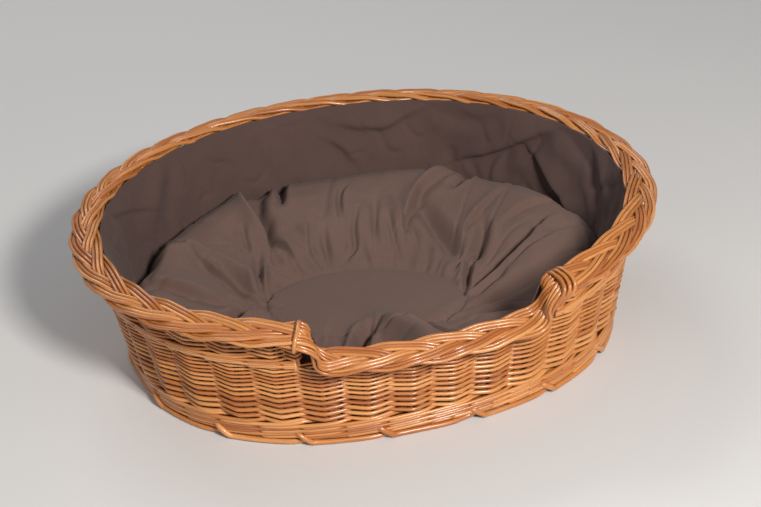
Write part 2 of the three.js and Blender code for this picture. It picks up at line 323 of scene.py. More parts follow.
# Noise scales across and along a rod: its grain vector is (cos, sin, metres along)
STREAK_SCALE = (2.4, 2.4, 26)
PATCH_SCALE = (0.7, 0.7, 9)
KNOT_SCALE = (0.8, 0.8, 34)
KNOT_RARITY = 0.84  # share of the cells without a knot
STREAK_DARK = (0.5, 0.425, 0.35)
KNOT_COLOUR = (0.10, 0.035, 0.014, 1)


def willow(name, stops, roughness=0.36, along=None):
    """Varnished willow: a tone for each rod, streaks along it, a few small knots."""
    shader = Shader(name)
    tone, grain = rod_tone_and_grain(shader, along)
    streak_place = shader.node("ShaderNodeMapping", {"Vector": grain, "Scale": STREAK_SCALE})
    streaks = shader.node("ShaderNodeTexNoise", {
        "Vector": streak_place.outputs[0], "Scale": 1.0, "Detail": 5.0, "Roughness": 0.6})
    patch_place = shader.node("ShaderNodeMapping", {"Vector": grain, "Scale": PATCH_SCALE})
    patches = shader.node("ShaderNodeTexNoise", {
        "Vector": patch_place.outputs[0], "Scale": 1.0, "Detail": 2.0})
    knot_place = shader.node("ShaderNodeMapping", {"Vector": grain, "Scale": KNOT_SCALE})
    cells = shader.node("ShaderNodeTexVoronoi", {"Vector": knot_place.outputs[0], "Scale": 1.0})
    chosen = shader.math("GREATER_THAN", shader.node(
        "ShaderNodeSeparateColor", {"Color": cells.outputs["Color"]}).outputs[0], KNOT_RARITY)
    near = shader.math("SUBTRACT", 1.0, shader.math("MULTIPLY", cells.outputs["Distance"], 4.5),
                       clamp=True)
    knots = shader.math("MULTIPLY", chosen, near)
    shifted = shader.math("ADD", shader.math("MULTIPLY", tone, 0.72),
                          shader.math("MULTIPLY", patches.outputs["Fac"], 0.42))
    colour = shader.ramp(shader.math("SUBTRACT", shifted, 0.07, clamp=True), stops)
    dark = shader.ramp(streaks.outputs["Fac"], [(0.3, STREAK_DARK), (0.62, (1, 1, 1))])
    colour = shader.mix("MULTIPLY", 0.75, colour, dark)
    colour = shader.mix("MIX", shader.math("MULTIPLY", knots, 0.85), colour, KNOT_COLOUR)
    gloss = shader.node("ShaderNodeMapRange", {
        "Value": streaks.outputs["Fac"], "To Min": roughness + 0.1, "To Max": roughness - 0.06})
    height = shader.math("SUBTRACT", streaks.outputs["Fac"], knots)
    bump = shader.node("ShaderNodeBump", {"Height": height, "Strength": 0.35,
                                          "Distance": 0.0006})
    shader.set(colour=colour, roughness=gloss.outputs[0], normal=bump.outputs[0],
               coat=0.5, coat_roughness=0.16, specular=0.5)
    return shader.material


WILLOW_STOPS = [(0.0, (0.30, 0.070, 0.016)), (0.18, (0.46, 0.150, 0.034)),
                (0.5, (0.60, 0.235, 0.062)), (0.8, (0.68, 0.300, 0.094)),
                (1.0, (0.74, 0.390, 0.155))]
DARK_STOPS = [(0.0, (0.22, 0.055, 0.013)), (0.3, (0.42, 0.135, 0.034)),
              (0.7, (0.55, 0.210, 0.060)), (1.0, (0.64, 0.285, 0.094))]


RIB = 1.1 * MM  # from one rib of the twill to the next
RIB_TURNS = (0.7, -0.9)


def cloth(name, light, dark):
    """Matt cotton twill: fine diagonal ribs, soft patches and lint."""
    shader = Shader(name)
    place = shader.node("ShaderNodeTexCoord").outputs["Object"]
    ribs = []
    for turn in RIB_TURNS:
        mapping = shader.node("ShaderNodeMapping", {
            "Vector": place, "Rotation": (0.5, 0.35, turn), "Scale": (1, 1, 1)})
        ribs.append(shader.node("ShaderNodeTexWave", {
            "Vector": mapping.outputs[0], "Scale": 0.31 / RIB / math.pi, "Distortion": 0.6,
            "Detail": 1.0, "Detail Scale": 2.0}, wave_type="BANDS").outputs["Fac"])
    fibres = shader.node("ShaderNodeTexNoise", {"Vector": place, "Scale": 900.0, "Detail": 3.0})
    patches = shader.node("ShaderNodeTexNoise", {"Vector": place, "Scale": 7.0, "Detail": 4.0})
    weave = shader.math("ADD", shader.math("MULTIPLY", ribs[0], 0.7),
                        shader.math("MULTIPLY", ribs[1], 0.3))
    amount = shader.math("ADD", shader.math("MULTIPLY", patches.outputs["Fac"], 0.55),
                         shader.math("MULTIPLY", fibres.outputs["Fac"], 0.45))
    colour = shader.ramp(amount, [(0.3, dark), (0.7, light)])
    colour = shader.mix("MULTIPLY", 0.12, colour, shader.ramp(weave, [(0, (0.55,) * 3),
                                                                     (1, (1.0,) * 3)]))
    height = shader.math("ADD", weave, shader.math("MULTIPLY", fibres.outputs["Fac"], 0.5))
    bump = shader.node("ShaderNodeBump", {"Height": height, "Strength": 0.16,
                                          "Distance": 0.0004})
    shader.set(colour=colour, roughness=0.9, normal=bump.outputs[0], sheen=0.05,
               sheen_roughness=0.6, specular=0.12)
    return shader.material


BORDER_WILLOW = willow("border_willow", WILLOW_STOPS)
SIDE_WILLOW = willow("side_willow", WILLOW_STOPS)
FOOT_WILLOW = willow("foot_willow", WILLOW_STOPS)
STAKE_WILLOW = willow("stake_willow", DARK_STOPS, roughness=0.5, along="Z")
STICK_WILLOW = {
    "stake_": STAKE_WILLOW,
    "shoulder_stake_": STAKE_WILLOW,
    "base_short_stick_": willow("short_stick_willow", DARK_STOPS, roughness=0.5, along="Y"),
    "base_long_stick_": willow("long_stick_willow", DARK_STOPS, roughness=0.5, along="X"),
}
LINER_CLOTH = cloth("liner_cloth", (0.100, 0.0600, 0.0520), (0.074, 0.0442, 0.0386))
CUSHION_CLOTH = cloth("cushion_cloth", (0.150, 0.092, 0.075), (0.116, 0.071, 0.058))


# ---------------------------------------------------------------- side weave

STEPS = 12  # points on a rod from one stake to the next
KINK = 0.025  # how sharply a rod bends at a stake
SLACK = 0.8 * MM  # room between a rod and the stake it passes
DIP = 1.3 * MM  # a rod sinks in front of a stake and rises behind it
WOBBLE = 0.45 * MM  # how far a row wanders from its height
LOW_PITCHES = ([50, 95], [4.2, 2.7])  # heights in mm and the rows' pitch there in mm
HIGH_PITCH = 2.9 * MM
WALE_ROWS = 3
WALE_TOP = WALE_HIGH + 5 * MM
HIGH_ENDS = (2, 33)  # the high rows' first and last place, in stakes
BAND_ROWS = 2  # rows of three rods at the start of the high weave
BAND_PITCH = 5.5 * MM
BASE_ROUNDS = 58
BASE_ROD = 1.7 * MM
BASE_WAVE = 4.1 * MM
HOLD = np.array([RANDOM.choice((0.2, 0.4, 0.7, 1.1)) for _ in range(STAKES)])
LEAN = np.array([RANDOM.uniform(-0.05, 0.05) for _ in range(STAKES)])


def swing(s, phase):
    """+1 in front of a stake and -1 behind the next; some stakes hold the rod flat longer."""
    nearest = np.round(s).astype(int)
    straight = 1 - 2 * np.sqrt((s - nearest) ** 2 + KINK**2) + 2 * KINK
    hold = HOLD[nearest % STAKES]
    share = np.tanh(hold * straight) / np.tanh(hold)
    return share * (1 - 2 * ((nearest + phase) % 2))


def row_wobble(t, row):
    return WOBBLE * np.array([noise.noise(Vector((v * 0.7, row * 2.3, 0))) for v in t])


def shoulder_place(s):
    """High rows: the stakes beside the way in stand closer than the others."""
    right = 3 - (3 - s) * (3 - t_at(SHOULDER_STAKE))
    left = 32 + (s - 32) * (3 - t_at(SHOULDER_STAKE))
    return np.where(s < 3, right, np.where(s > 32, left, s))


def weave_row(rods, row, z, radius, phase, first, last, place=lambda s: s):
    """One row of rods, each tapering from its butt, that changes rod behind a stake."""
    start = first
    while start < last:
        length = RANDOM.choice((8, 10, 12))
        stop = min(start + length, last)
        if last - stop < 4:
            stop = last
        s = np.linspace(start, stop, int((stop - start) * STEPS) + 1)
        t = place(s) + np.interp(s % STAKES, np.arange(STAKES + 1), [*LEAN, LEAN[0]])
        taper = np.interp(s, [start, stop], [1.1, 0.88])
        reach = STAKE_RADIUS + radius + SLACK
        side = swing(s, phase)
        points, outward = wall(t, z + row_wobble(t, row) - DIP * side, side * reach)
        rods.add(points, radius * taper, outward)
        start = stop


def low_weave(material):
    """Rows that go all the way round, up to the lowered border."""
    heights, z = [], WALE_TOP + 2.2 * MM
    while z < LOW_WEAVE_TOP - 0.5 * MM:
        pitch = np.interp(z / MM, *LOW_PITCHES) * MM
        heights.append((z, 0.56 * pitch))
        z += pitch
    courses = [f"weave_course_{i + 1}" for i in range(5)]
    for index, course in enumerate(courses):
        rods = Rods()
        rows = [r for r in range(len(heights)) if r * len(courses) // len(heights) == index]
        for row in rows:
            z, radius = heights[row]
            first = (row * 5) % 7
            first += (first + row) % 2  # rods start and end behind a stake
            weave_row(rods, row, z, radius, row % 2, first + 1, first + 1 + STAKES)
        rods.build(f"side_weave_{index + 1}", material, [course])
    return len(heights)


def turn_round(stake, z, radius, pitch):
    """A rod's turn round the stake that ends a row, from outside to inside."""
    reach = STAKE_RADIUS + radius + SLACK
    angle = np.linspace(0, math.pi, 12)
    beyond = reach * np.sin(angle) / STAKE_PITCH * (-1 if stake == HIGH_ENDS[0] else 1)
    t = shoulder_place(np.full(12, float(stake))) + beyond
    points, outward = wall(t, z + pitch * angle / math.pi, reach * np.cos(angle))
    middle = wall(t - beyond, z, 0.0)[0]
    return points, np.full(12, radius), unit(points - middle)


def high_weave(material, row):
    """Finer rows that stop at the short stakes beside the way in and turn round them."""
    courses = [f"back_weave_course_{i + 1}" for i in range(2)]
    pitch = HIGH_PITCH
    start = LOW_WEAVE_TOP + BAND_ROWS * BAND_PITCH
    count = int((BORDER_HIGH - 2 * MM - start) / pitch)
    for index, course in enumerate(courses):
        rods = Rods()
        for band in range(BAND_ROWS if index == 0 else 0):
            z = LOW_WEAVE_TOP + (band + 0.5) * BAND_PITCH
            for phase in range(band, band + 3):
                wale_rod(rods, z, BAND_PITCH, 0.3 * BAND_PITCH, HIGH_ENDS, phase,
                         shoulder_place)
        for k in range(index * count // 2, (index + 1) * count // 2):
            z = start + (k + 0.6) * pitch
            radius = 0.55 * pitch
            weave_row(rods, row + k, z, radius, (row + k) % 2, *HIGH_ENDS, shoulder_place)
            end = HIGH_ENDS[(row + k) % 2]
            rods.add(*turn_round(end, z, radius, pitch), tone=RANDOM.random())
        rods.build(f"back_weave_{index + 1}", material, [course])


def wale_rod(rods, z, pitch, radius, ends, phase, place=lambda s: s):
    """A rod in front of two stakes and behind the next, which climbs as it goes."""
    s = np.linspace(*ends, int((ends[1] - ends[0]) * STEPS) + 1)
    turn = (s - phase + 0.5) % 3 - 0.5
    behind = np.clip(1 - np.abs(turn - 2) / 0.9, 0, 1)
    share = 1 - 2 * np.sin(behind * math.pi / 2) ** 2
    slant = pitch * np.interp(turn, [-0.5, 1.5, 2.5], [-0.5, 0.5, -0.5])
    taper = np.interp(s, ends, [1.08, 0.9])
    points, outward = wall(place(s), z + slant + row_wobble(s, 90 + phase),
                           share * (STAKE_RADIUS + radius) + 1.5 * MM)
    rods.add(points, radius * taper, outward)


def bottom_wale(material):
    """Rows of three rods just above the foot."""
    rods = Rods()
    pitch = (WALE_TOP - WALE_LOW) / WALE_ROWS
    for row in range(WALE_ROWS):
        z = WALE_LOW + (row + 0.55) * pitch
        for start in range(row, row + 3):
            for part in range(3):
                ends = (start + 12 * part, start + 12 * (part + 1))
                wale_rod(rods, z, pitch, 0.3 * pitch, ends, start)
    return rods.build("wale_rods", material, ["bottom_wale"])


def box_middle(node):
    low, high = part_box(node)
    return (low + high) / 2


def stick_meetings(rx, ry, short, long):
    """The angles at which an oval of half axes rx and ry meets the sticks, in order."""
    meets = [turn * math.acos(x / rx) for x in short if abs(x) < rx for turn in (1, -1)]
    for y in long:
        if abs(y) < ry:
            meets += [math.asin(y / ry), math.pi - math.asin(y / ry)]
    return np.sort(np.array(meets) % (2 * math.pi))


def base_weave(material):
    """Thin rods woven over and under the sticks of the base, in closed rounds."""
    low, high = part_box("base_weave")
    middle, half = (low + high) / 2, (high - low) / 2
    short = [box_middle(f"base_short_stick_{i + 1}").x - middle.x for i in range(5)]
    long = [box_middle(f"base_long_stick_{i + 1}").y - middle.y for i in range(2)]
    rods = Rods(sides=6)
    angle = np.linspace(0, 2 * math.pi, 121)
    for row in range(2, BASE_ROUNDS):
        share = (row + 0.5) / BASE_ROUNDS
        rx, ry = half.x * share, half.y * share
        meets = stick_meetings(rx, ry, short, long)
        around = [meets[-1] - 2 * math.pi, *meets, meets[0] + 2 * math.pi]
        count = np.interp(angle, around, np.arange(-1, len(meets) + 1))
        rise = BASE_WAVE * np.cos(math.pi * (count + row))
        path = np.stack([middle.x + rx * np.cos(angle), middle.y + ry * np.sin(angle),
                         middle.z + rise], 1)
        rods.add(path, BASE_ROD, np.array([[0.0, 0.0, 1.0]]), closed=True)
    return rods.build("base_rods", material, ["base_weave"])


# ---------------------------------------------------------------- foot border

FOOT_KNUCKLE = [  # stakes from the knuckle, height in mm, offset in mm
    (-0.35, 19.0, -3.0), (-0.12, 17.0, 3.0), (0.0, 14.5, 8.0), (0.14, 9.5, 10.2),
    (0.27, 4.6, 9.8), (0.42, 3.5, 8.6), (1.0, 3.4, 7.6), (1.7, 3.5, 7.0),
    (2.1, 4.6, 4.2), (2.5, 8.2, 3.4), (3.1, 9.6, 3.6), (3.9, 10.0, 1.0), (4.3, 10.0, -4.0),
]


def smooth_through(points, steps):
    """A Catmull-Rom curve through a short list of points."""
    points = np.array(points, float)
    padded = np.concatenate([2 * points[:1] - points[1:2], points, 2 * points[-1:] - points[-2:-1]])
    out = []
    for a, b, c, d in zip(padded, padded[1:], padded[2:], padded[3:]):
        u = np.linspace(0, 1, steps, endpoint=False)[:, None]
        out.append(0.5 * (2 * b + (c - a) * u + (2 * a - 5 * b + 4 * c - d) * u**2
                          + (3 * b - a - 3 * c + d) * u**3))
    return np.concatenate(out + [points[-1:]])


def foot_border(material):
    """Thick rods laid down one over the next, which make a knuckle at every second stake."""
    rods = Rods(sides=10)
    radius = 3.6 * MM
    curve = smooth_through(FOOT_KNUCKLE, 7)
    for knuckle in range(0, STAKES, 2):
        start = knuckle + 0.4 + RANDOM.uniform(-0.15, 0.15)
        thick = radius * RANDOM.uniform(0.9, 1.05)
        points, outward = wall(start + curve[:, 0], np.maximum(curve[:, 1] * MM, thick),
                               curve[:, 2] * MM)
        taper = np.linspace(1.0, 0.85, len(curve))
        rods.add(points, thick * taper, outward)
    return rods.build("foot_rods", material, ["foot_border"])


# ---------------------------------------------------------------- plaited border

PLAIT_STRANDS = 5
PLAIT_WAVES = 7
PLAIT_SWAY = 12.9 * MM
PLAIT_LIFT = 3.4 * MM
LIFT_SHARE = 0.2  # evens out the room where a strand passes over the first and the second
PLAIT_ROD = 2.2 * MM
ROD_SPACING = 2.12 * PLAIT_ROD  # a little more than touching
PLAIT_RODS = 3
PLAIT_TILT = math.radians(13)  # the border lies square to the leaning stakes


def border_frames(count):
    """Centre points of the border with the directions across it and up through it."""
    line, length = border_line(step=0.5 * MM)
    place = np.linspace(0, len(line) - 1, count)
    flat = np.stack([np.interp(place, np.arange(len(line)), line[:, k]) for k in range(2)], 1)
    centre, _ = wall(t_at(flat[:, 0]), flat[:, 1], BORDER_OFFSET)
    tangent = unit(np.roll(centre[:-1], -1, 0) - np.roll(centre[:-1], 1, 0))
    tangent = np.concatenate([tangent, tangent[:1]])
    level = unit(tangent * [1, 1, 0])
    across = np.stack([level[:, 1], -level[:, 0], 0 * level[:, 0]], 1)
    up = np.cross(across, tangent)
    c, s = math.cos(PLAIT_TILT), math.sin(PLAIT_TILT)
    return centre, across * c - up * s, up * c + across * s


def plait(material):
    """Strands of three rods: each comes from an edge over two others, then goes under two."""
    count = PLAIT_WAVES * 52 + 1
    centre, across, up = border_frames(count)
    waves = np.linspace(0, PLAIT_WAVES, count)
    for strand in range(PLAIT_STRANDS):
        phase = 2 * math.pi * (waves + strand / PLAIT_STRANDS)
        sway = PLAIT_SWAY * np.sin(phase)
        lift = -PLAIT_LIFT * (np.sin(2 * phase) + LIFT_SHARE * np.sin(6 * phase))
        lift -= 1.5 * MM * (sway / PLAIT_SWAY) ** 2
        path = centre + across * sway[:, None] + up * lift[:, None]
        ends = np.concatenate([path[-2:-1], path, path[1:2]])
        tangent = unit(ends[2:] - ends[:-2])
        side = unit(np.cross(tangent, up))
        rods = Rods()
        for rod in range(PLAIT_RODS):
            lay = (rod - (PLAIT_RODS - 1) / 2) * ROD_SPACING
            sag = 0.3 * PLAIT_ROD * smooth_noise(path, 0.05, rod + 3.0 * strand)
            points = path + side * (lay + sag)[:, None] + up * 0.6 * sag[:, None]
            rods.add(points, PLAIT_ROD * RANDOM.uniform(0.94, 1.04), up, closed=True)
        node = f"border_plait_strand_{strand * 3 // PLAIT_STRANDS + 1}"
        rods.build(f"plait_strand_{strand + 1}", material, [node])


# Along and up from the border's middle, in mm: a rod end that wraps over the border
WRAP = [(-15, -9), (-19, -3), (-14, 5), (0, 8.5), (14, 6.5), (19.5, -1), (18, -11)]
WRAP_END, WRAP_LEAN = 9.5, 0.144  # the end lies on the leaning side
# Place along the rim at the top, place and height of the cut end, in mm from the border's line
SHOULDER_WRAPS = {
    1: [(149, 135, -42), (156, 143, -34), (163, 152, -24)],
    -1: [(150, 157, -11)],
}


def shoulder_rods(material):
    """Rod ends that wrap over the border at its two high corners; one side's hang lower."""
    rods = Rods()
    c, s = math.cos(PLAIT_TILT), math.sin(PLAIT_TILT)
    for side, wraps in SHOULDER_WRAPS.items():
        for top, end, fall in wraps:
            loop = smooth_through([*WRAP, (WRAP_END - WRAP_LEAN * fall, fall)], 5)
            share = np.linspace(0, 1, len(loop))
            distance = np.interp(share, [0, 0.45, 1], [top + 3, top, end]) * MM
            outwards = BORDER_OFFSET + (loop[:, 0] * c + loop[:, 1] * s) * MM
            height = BORDER_HIGH + (loop[:, 1] * c - loop[:, 0] * s) * MM
            points, outward = wall(t_at(side * distance), height, outwards)
            radius = 2.4 * MM * np.interp(share, [0, 0.85, 1], [1, 1, 0.3])
            rods.add(points, radius, outward)
    rods.build("shoulder_rod_ends", material)


# ---------------------------------------------------------------- folds

def valley(d, width, depth, reach):
    """A soft crease with slightly raised lips."""
    lips = np.exp(-(((np.abs(d) - 2.1 * width) / width) ** 2))
    return -depth * np.exp(-((d / width) ** 2)) + 0.22 * depth * lips


def flap(d, width, height, reach):
    """A fold that lies over its neighbour: the left side of the line is the upper one."""
    step = 0.5 + 0.5 * np.tanh(d / width)
    return height * (step * np.exp(-np.abs(d) / reach)
                     - 0.6 * (1 - step) * np.exp(-np.abs(d) / (0.6 * reach)))


def ridge(d, width, height, reach):
    return height * np.exp(-((d / width) ** 2))


def to_line(points, line):
    """Signed distance of plan points from a line, left side positive, and how far along."""
    best = np.full(len(points), np.inf)
    signed, along = np.zeros(len(points)), np.zeros(len(points))
    count = len(line) - 1
    for k in range(count):
        a, b = line[k], line[k + 1]
        span = b - a
        share = np.clip(((points - a) @ span) / (span @ span), 0, 1)
        gap = points - a - share[:, None] * span
        far = np.hypot(gap[:, 0], gap[:, 1])
        near = far < best
        side = np.where(span[0] * gap[:, 1] - span[1] * gap[:, 0] >= 0, 1, -1)
        signed[near], along[near] = (far * side)[near], (k + share[near]) / count
        best[near] = far[near]
    return signed, along


def relief(points, place, folds):
    """Sum of all folds at plan points in millimetres."""
    total = np.zeros(len(points))
    for shape, width, height, reach, turns in folds:
        line = place(smooth_through(turns, 6))
        d, along = to_line(points, line)
        fade = np.sin(math.pi * np.clip(along, 0.02, 0.98)) ** 0.5
        total += fade * shape(d, width, height, reach)
    return total


def thin_creases(points, size, share):
    """Fine creases along the zero lines of a noise, each only part of the way."""
    line = smooth_noise(points, size, 11.0)
    part = np.clip(1.5 + 4 * smooth_noise(points, size * 0.6, 29.0), 0, 1)
    return -part * np.exp(-((line / share) ** 2))


# ---------------------------------------------------------------- liner

# shape, width, height, reach in mm, then points of the fold: stake count and height in mm
LINER_FOLDS = [
    (flap, 3.0, 11, 26, [(10.7, 158), (11.5, 136), (12.4, 110), (13.4, 92)]),
    (flap, 3.5, 14, 30, [(9.4, 60), (10.2, 84), (10.7, 98), (11.3, 116)]),
    (valley, 11, 8, 0, [(10.7, 168), (10.0, 156), (9.2, 144), (8.8, 128), (8.1, 98), (7.9, 60)]),
    (flap, 1.6, 4, 12, [(12.5, 58), (12.5, 88), (12.2, 110)]),
    (valley, 9, 4, 0, [(13.8, 110), (13.6, 62)]),
    (valley, 8, 5, 0, [(14.3, 158), (13.2, 144), (12.5, 152)]),
    (flap, 5.0, 8, 22, [(14.3, 160), (14.9, 148), (15.6, 134), (16.4, 138), (17.0, 150)]),
    (flap, 3.0, 6, 20, [(16.4, 90), (16.7, 110), (17.1, 126)]),
    (flap, 2.0, 10, 40, [(24.7, 164), (24.5, 142), (24.8, 114), (25.1, 70)]),
    (flap, 3.0, 6, 14, [(22.7, 118), (23.5, 134), (25.1, 166)]),
    (ridge, 14, 6, 0, [(21.9, 164), (22.5, 128), (22.8, 100)]),
    (valley, 10, 5, 0, [(21.5, 156), (22.0, 114), (22.2, 90)]),
    (valley, 12, 5, 0, [(19.2, 150), (19.0, 110), (18.6, 80)]),
    (flap, 3.0, 6, 22, [(7.0, 150), (6.3, 110), (6.0, 70)]),
    (valley, 9, 5, 0, [(5.2, 150), (4.6, 110), (4.4, 70)]),
    (flap, 3.0, 6, 20, [(29.5, 140), (29.0, 100), (28.8, 70)]),
    (valley, 9, 5, 0, [(27.0, 140), (26.8, 100), (26.6, 70)]),
]


def wall_plan(turns):
    """Distance along the wall and height, in mm, of stake counts and heights."""
    return np.stack([turns[:, 0] * STAKE_PITCH / MM, turns[:, 1]], 1)


LINER_COLUMNS = 14  # columns of the grid from one stake to the next
LINER_ROWS = 60
LINER_ABOVE = 1.0 * MM  # its edge ends this far above the border's line
LINER_THICKNESS = 1.6 * MM
LINER_INSET = (15.5, -5.5, 6.0)  # mm inside the stakes: mid height, less at the top, more below
LINER_RANGE = (11.5, 40)  # least and greatest inset in mm


def liner(material):
    """The cloth inside the wall, from under the plait down to the floor and across it."""
    t = np.arange(STAKES * LINER_COLUMNS) / LINER_COLUMNS
    top = border_height((t + 0.5) * STAKE_PITCH) + LINER_ABOVE
    floor = LINER_FLOOR + 1.2 * MM
    share = np.linspace(0, 1, LINER_ROWS)[:, None]
    z = top + (floor - top) * share
    grid_t = np.broadcast_to(t, z.shape)
    plan = wall_plan(np.stack([grid_t.ravel(), z.ravel() / MM], 1))
    bulge = relief(plan, wall_plan, LINER_FOLDS)
    angle = grid_t.ravel() * 2 * math.pi / STAKES
    soft = np.stack([np.cos(angle) * 6, np.sin(angle) * 6, plan[:, 1] / 60], 1)
    bulge += 3.5 * smooth_noise(soft, 1.0) + 1.5 * smooth_noise(soft * 2.7, 1.0)
    bulge += 2.2 * thin_creases(soft, 1.1, 0.05)
    bulge = bulge.reshape(z.shape) * np.sin(math.pi * np.clip(share * 1.1, 0, 1)) ** 0.35
    middle, at_top, at_floor = LINER_INSET
    inset = middle + at_top * np.exp(-share * 12) + at_floor * np.exp(-(1 - share) * 9)
    inset = np.clip(inset + bulge, *LINER_RANGE)
    shell, _ = wall(grid_t, z, -inset * MM)
    rows = list(shell)
    centre = np.array([OVAL_CENTRE.x, OVAL_CENTRE.y, floor])
    rows += [centre + (rows[-1] - centre) * s for s in np.linspace(0.94, 0.06, 12)]
    piece = grid_object("liner_sheet", rows, "basket", end=centre)
    piece.data.materials.append(material)
    solid = piece.modifiers.new("thickness", "SOLIDIFY")
    solid.thickness = LINER_THICKNESS
    solid.offset = 0
    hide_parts("liner")
    return piece


# ---------------------------------------------------------------- cushion

PANEL_CENTRE = (-12, -30)
PANEL_AXES = (119, 77)
PANEL_TURN = math.radians(-15)
CUSHION_AXES = (284, 233)

# From the seam round the panel (share 0) to the outline (share 1): height in mm
CUSHION_PROFILE = [(-1, 49), (-0.5, 50), (-0.12, 49), (0, 45.5), (0.05, 50), (0.15, 55), (0.3, 65),
                   (0.5, 78), (0.7, 87), (0.83, 89), (0.92, 85), (1, 72)]
CUSHION_SIDE = [(1.004, 62), (1.0, 50), (0.985, 38), (0.955, 28), (0.91, 21), (0.85, 19.2)]

CUSHION_COLUMNS = 640
FOLD_STRENGTH = 1.85
FRONT_DROP = 17  # the cushion is lower in the way in, in mm
SEAM_DEPTH, SEAM_WIDTH = 3.5, 0.012  # in mm and in share
HOLLOW_PLACE, HOLLOW_DEPTH = 157, 24  # the pocket by the wall, in degrees and mm

# shape, width, height, reach in mm, then points of the fold: degrees round and share
CUSHION_FOLDS = [
    # back left: the deep fold and the small pocket beside it
    (flap, 1.8, 15, 24, [(127, 0.33), (123, 0.42), (121, 0.54), (119, 0.7), (112, 1.02)]),
    (valley, 8, 9, 0, [(122, 0.42), (117, 0.6), (114, 0.75), (108, 0.95)]),
    (flap, 1.6, 7, 9, [(119, 0.44), (120, 0.3), (123, 0.16)]),
    (ridge, 8, 6, 0, [(126, 0.34), (126, 0.22), (130, 0.12)]),
    (valley, 2.6, 3.5, 0, [(127, 0.57), (132, 0.46), (136, 0.36)]),
    (valley, 5, 9, 0, [(101, 1.0), (103, 0.88), (107, 0.7)]),
    # back: short soft pleats
    (flap, 1.6, 4.5, 9, [(93, 0.4), (91, 0.55), (88, 0.72)]),
    (flap, 1.5, 4.5, 8, [(84, 0.76), (88, 0.62), (90, 0.46)]),
    (valley, 3, 4, 0, [(84, 0.5), (88, 0.34), (91, 0.18), (99, 0.08)]),
    (flap, 1.6, 4, 9, [(117, 0.06), (109, 0.3), (102, 0.5)]),
    (valley, 4, 3.5, 0, [(99, 0.4), (103, 0.25), (108, 0.06)]),
    (valley, 4, 3, 0, [(77, 0.6), (79, 0.4), (80, 0.2)]),
    (valley, 3.5, 3, 0, [(73, 0.45), (72, 0.28), (70, 0.1)]),
    # back right: the tuck in the crest
    (flap, 1.6, 9, 18, [(67, 0.36), (65, 0.48), (63, 0.58), (61, 0.7), (53, 0.92)]),
    (ridge, 8, 3, 0, [(62, 0.68), (58, 0.84), (54, 1.0)]),
    (valley, 5, 9, 0, [(52, 0.76), (49, 0.88), (49, 1.0)]),
    (flap, 1.6, 5, 9, [(66, 0.26), (68, 0.44), (71, 0.62)]),
    (valley, 9, 10, 0, [(61, 0.56), (55, 0.42), (48, 0.32), (38, 0.2)]),
    (flap, 1.4, 5, 12, [(38, 0.33), (39, 0.42), (38, 0.5), (36, 0.66), (34, 0.85)]),
    (valley, 7, 9, 0, [(34, 0.52), (29, 0.36), (26, 0.22)]),
    (valley, 4, 7, 0, [(29, 0.22), (21, 0.1), (12, 0.02)]),
    (valley, 2.4, 3, 0, [(31, 0.36), (31, 0.22), (34, 0.08)]),
    # right: long diagonals from the seam to the outline
    (flap, 2.5, 9, 30, [(8, 0.95), (8, 0.66), (4, 0.5), (3, 0.38), (4, 0.26), (2, 0.04)]),
    (valley, 7, 6, 0, [(8, 0.56), (5, 0.4), (6, 0.26), (4, 0.1)]),
    (flap, 1.8, 4, 18, [(25, 0.54), (22, 0.72), (17, 0.95)]),
    (valley, 6, 5, 0, [(-4, 0.3), (-6, 0.18), (-6, 0.04)]),
    (flap, 2.2, 5, 24, [(-3, 0.9), (-5, 0.6), (-6, 0.35)]),
    (valley, 12, 6, 0, [(-24, 0.1), (-24, 0.4), (-20, 0.8)]),
    # left: broad facets with long creases, and the hollow by the wall
    (flap, 2.0, 8, 26, [(147, 0.7), (152, 0.84), (157, 1.05)]),
    (ridge, 7, 5, 0, [(144, 0.95), (147, 0.72), (149, 0.58), (151, 0.38), (154, 0.2)]),
    (flap, 2.5, 10, 24, [(154, 0.56), (158, 0.46), (165, 0.28), (174, 0.14), (182, 0.02)]),
    (valley, 9, 10, 0, [(155, 0.44), (158, 0.3), (166, 0.16), (172, 0.05)]),
    (valley, 5, 7, 0, [(133, 0.34), (146, 0.2), (158, 0.1), (170, 0.02)]),
    (flap, 1.8, 6, 10, [(165, 0.02), (150, 0.1), (138, 0.2)]),
    (flap, 2.5, 8, 24, [(170, 0.9), (176, 0.6), (182, 0.3)]),
    (valley, 6, 9, 0, [(197, 0.34), (190, 0.2), (182, 0.05)]),
    (ridge, 10, 6, 0, [(200, 0.26), (200, 0.1), (206, 0.0)]),
    (flap, 2.2, 8, 20, [(214, 0.1), (216, 0.4), (214, 0.8)]),
    # front: the rounded lobe between two deep creases
    (ridge, 17, 16, 0, [(289, -0.36), (286, 0.1), (282, 0.45), (278, 0.9)]),
    (valley, 6, 18, 0, [(275, -0.24), (268, 0.0), (262, 0.2), (256, 0.5)]),
    (flap, 1.8, 7, 12, [(258, 0.45), (266, 0.16), (274, -0.1), (280, -0.32)]),
    (valley, 5, 18, 0, [(302, -0.24), (300, 0.0), (297, 0.2), (292, 0.5)]),
    (flap, 1.5, 7, 10, [(290, 0.5), (295, 0.2), (298, 0.0), (297, -0.24)]),
    (flap, 2.2, 7, 20, [(240, 0.5), (244, 0.25), (246, 0.02)]),
    (valley, 6, 6, 0, [(318, 0.05), (316, 0.3), (312, 0.7)]),
]


